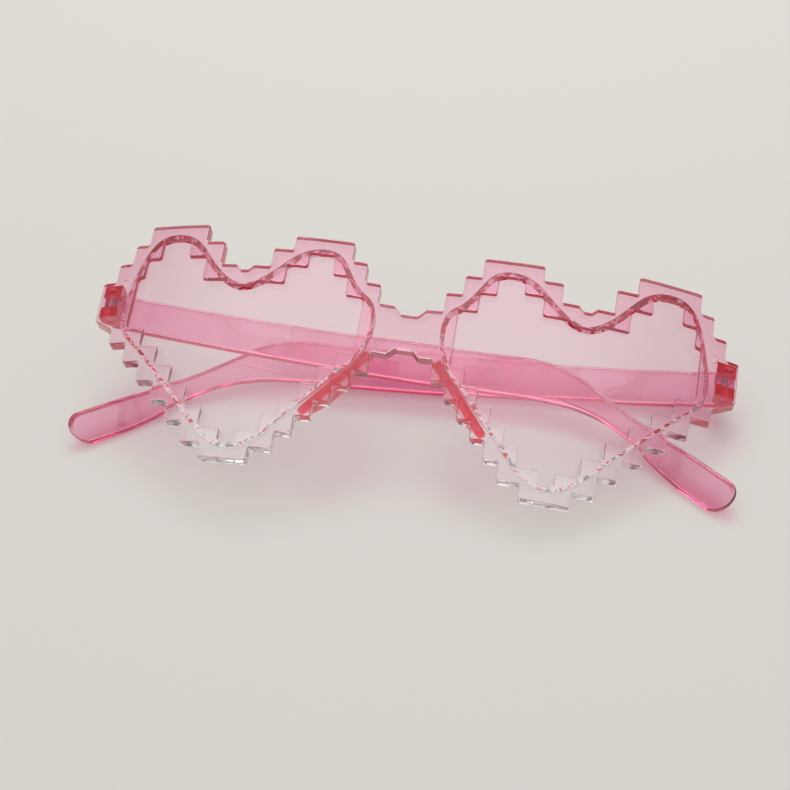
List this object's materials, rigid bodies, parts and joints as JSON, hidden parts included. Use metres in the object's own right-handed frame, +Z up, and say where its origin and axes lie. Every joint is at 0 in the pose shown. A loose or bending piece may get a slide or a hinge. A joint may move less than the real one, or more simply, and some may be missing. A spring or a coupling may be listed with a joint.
{
  "type": "heart sunglasses",
  "caption": "Wrap-front sunglasses with stepped heart rims, smooth heart lenses let in from behind, moulded nose pads and folding temples on screwed hinges.",
  "frame": {"origin": "middle of the folded pair's bounding box, on the table it lies on", "axes": "+X towards the wearer's left, +Y from the chins to the brow along the table, +Z up from the table, out of the lenses"},
  "size_m": [0.1488, 0.0544, 0.0395],
  "materials": {
    "clear_pink_front": "polished clear injection moulding, pink at the brow and nearly clear at the chin",
    "tinted_lens": "polished thin clear sheet with a fading pink tint",
    "clear_pink_temple": "polished clear pink injection moulding",
    "hinge_screw": "plain turned steel"
  },
  "bodies": {
    "front": {"front_frame": "clear_pink_front", "left_lens": "tinted_lens", "right_lens": "tinted_lens", "left_hinge_screw": "hinge_screw", "right_hinge_screw": "hinge_screw"},
    "left_arm": {"left_temple": "clear_pink_temple"},
    "right_arm": {"right_temple": "clear_pink_temple"}
  },
  "joints": [
    {"name": "left_temple_hinge", "type": "hinge", "parent": "front", "child": "left_arm", "pos_m": [0.07028, 0.01835, 0.0105], "axis": [-0.0377, -0.8729, -0.4864], "range_deg": [0, 85.4]},
    {"name": "right_temple_hinge", "type": "hinge", "parent": "front", "child": "right_arm", "pos_m": [-0.06811, 0.01835, 0.02123], "axis": [0.0377, 0.8729, 0.4864], "range_deg": [0, 90.4]}
  ]
}
